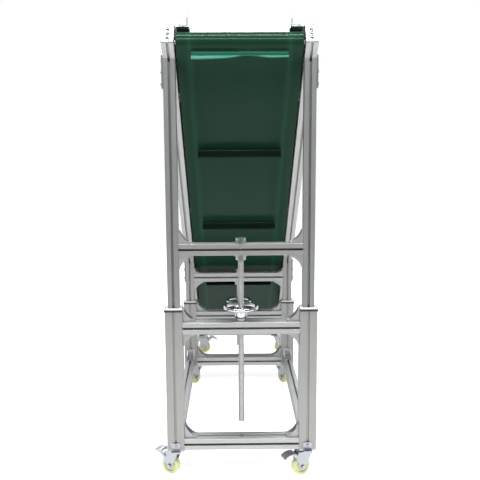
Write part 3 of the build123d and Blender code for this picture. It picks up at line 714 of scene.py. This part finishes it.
def handwheel_mesh(name, hub_radius, height, rim_radius, rim_height):
    """Hub, rim and spokes, remeshed into one casting with blended corners."""
    hub = [(0, 0.001), (hub_radius - 0.0025, 0.001), (hub_radius, 0.0035), (hub_radius, height * 0.62)]
    hub += [(hub_radius - 0.003, height * 0.72), (hub_radius - 0.003, height - 0.002)]
    hub += [(hub_radius - 0.005, height - 0.0005), (0, height - 0.0005)]
    rim = []
    tube = WHEEL_RIM_RADIUS - 0.0004
    for step in range(24):
        angle = 2 * math.pi * step / 24
        rim.append((rim_radius + tube * math.cos(angle), rim_height + tube * math.sin(angle)))
    work = bmesh.new()
    work.from_mesh(turned("hub", hub))
    work.from_mesh(turned("rim", rim, 128, closed=True))
    start, end = Vector((hub_radius * 0.6, 0, height * 0.42)), Vector((rim_radius, 0, rim_height))
    for spoke in range(WHEEL_SPOKES):
        arm = spoke_mesh("arm", start, end, 0.0068, 0.0044)
        arm.transform(Matrix.Rotation(QUARTER + 2 * math.pi * spoke / WHEEL_SPOKES, 4, "Z"))
        work.from_mesh(arm)
    rough = bpy.data.meshes.new(name)
    work.to_mesh(rough)
    work.free()
    holder = bpy.data.objects.new(name, rough)
    scene.collection.objects.link(holder)
    remesh = holder.modifiers.new("cast", "REMESH")
    remesh.mode, remesh.voxel_size = "VOXEL", WHEEL_GRAIN
    smooth = holder.modifiers.new("fettle", "SMOOTH")
    smooth.factor, smooth.iterations = 0.5, 6
    graph = bpy.context.evaluated_depsgraph_get()
    graph.update()
    mesh = bpy.data.meshes.new_from_object(holder.evaluated_get(graph), depsgraph=graph)
    mesh.name = name
    holder.modifiers.clear()
    bpy.data.objects.remove(holder)
    return mesh


chrome, plating = finish_of("chrome_plating")
breath = plating.noise(plating.place(), 50.0, 3.0)
chrome_tone = breath.blend((0.42, 0.43, 0.45, 1), (0.66, 0.67, 0.69, 1))
set_shader(chrome, Base_Color=chrome_tone, Metallic=1.0, Roughness=breath * 0.1 + 0.07)
for leg, axis in (("front", front_axis), ("middle", middle_axis)):
    low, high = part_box(f"{leg}_handwheel")
    outer = (high.x - low.x) / 2
    wheel_height = high.z - low.z
    rim_radius, rim_height = outer - WHEEL_RIM_RADIUS, wheel_height - WHEEL_RIM_RADIUS
    wheel = handwheel_mesh(f"{leg}_cast_wheel", 0.020, 0.034, rim_radius, rim_height)
    wheel.transform(Matrix.Translation((axis.x, axis.y, low.z)))
    piece = new_piece(f"{leg}_cast_wheel", wheel, f"{leg}_handwheel", chrome)
    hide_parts(f"{leg}_handwheel")


# ---- Castor wheels ----
# Pale polyurethane wheels with a recessed web and a hub boss each side, turning on the
# fork's axle bolt.
WHEEL_GROOVE = 0.0016
TREAD_CROWN = 0.0042


def castor_wheel_profile(radius, half_width):
    """(radius, height) points of half a wheel, from the axle hole out to the tread's middle."""
    web = half_width - 0.0045
    side = [(0.0042, half_width), (0.0092, half_width), (0.0105, half_width - 0.001), (0.011, web + 0.001)]
    side += [(0.012, web), (radius - 0.0118, web), (radius - 0.0102, web + 0.0012)]
    side += [(radius - 0.0098, half_width - 0.0006), (radius - 0.0092, half_width)]
    side.append((radius - 0.0066, half_width))
    side += [(radius - 0.0060, half_width - WHEEL_GROOVE * 0.5), (radius - 0.0054, half_width)]
    for step in range(7):
        angle = math.pi / 2 * step / 6
        across = half_width - TREAD_CROWN + TREAD_CROWN * math.cos(angle)
        side.append((radius - TREAD_CROWN + TREAD_CROWN * math.sin(angle), across))
    return side


tyre_plastic, tyre = finish_of("castor_polyurethane")
tyre_cloud = tyre.noise(tyre.place(), 60.0, 3.0)
tyre_grain = tyre.noise(tyre.place(), 700.0, 2.0)
tyre_tone = tyre_cloud.blend((0.56, 0.56, 0.28, 1), (0.66, 0.66, 0.36, 1))
tyre_normal = tyre.bump(tyre_grain, 0.12, 0.0002)
set_shader(tyre_plastic, Base_Color=tyre_tone, Roughness=tyre_cloud * 0.15 + 0.30, Normal=tyre_normal)
for castor in castors:
    body = f"{castor}_wheel"
    low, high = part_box(body)
    centre = (low + high) / 2
    radius = (high.z - low.z) / 2
    axle = Vector(next(joint["axis"] for joint in frame["joints"] if joint["name"] == f"{castor}_roll"))
    half_width = 0.012
    half = castor_wheel_profile(radius, half_width)
    outline = half + [(r, -z) for r, z in reversed(half)]
    wheel = turned(f"{castor}_tyre", outline, 72, closed=True)
    wheel.transform(Matrix.Translation(centre) @ axle.to_track_quat("Z", "Y").to_matrix().to_4x4())
    piece = new_piece(f"{castor}_tyre", wheel, body, tyre_plastic)
    sharpen(wheel, 35)
    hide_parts(body)
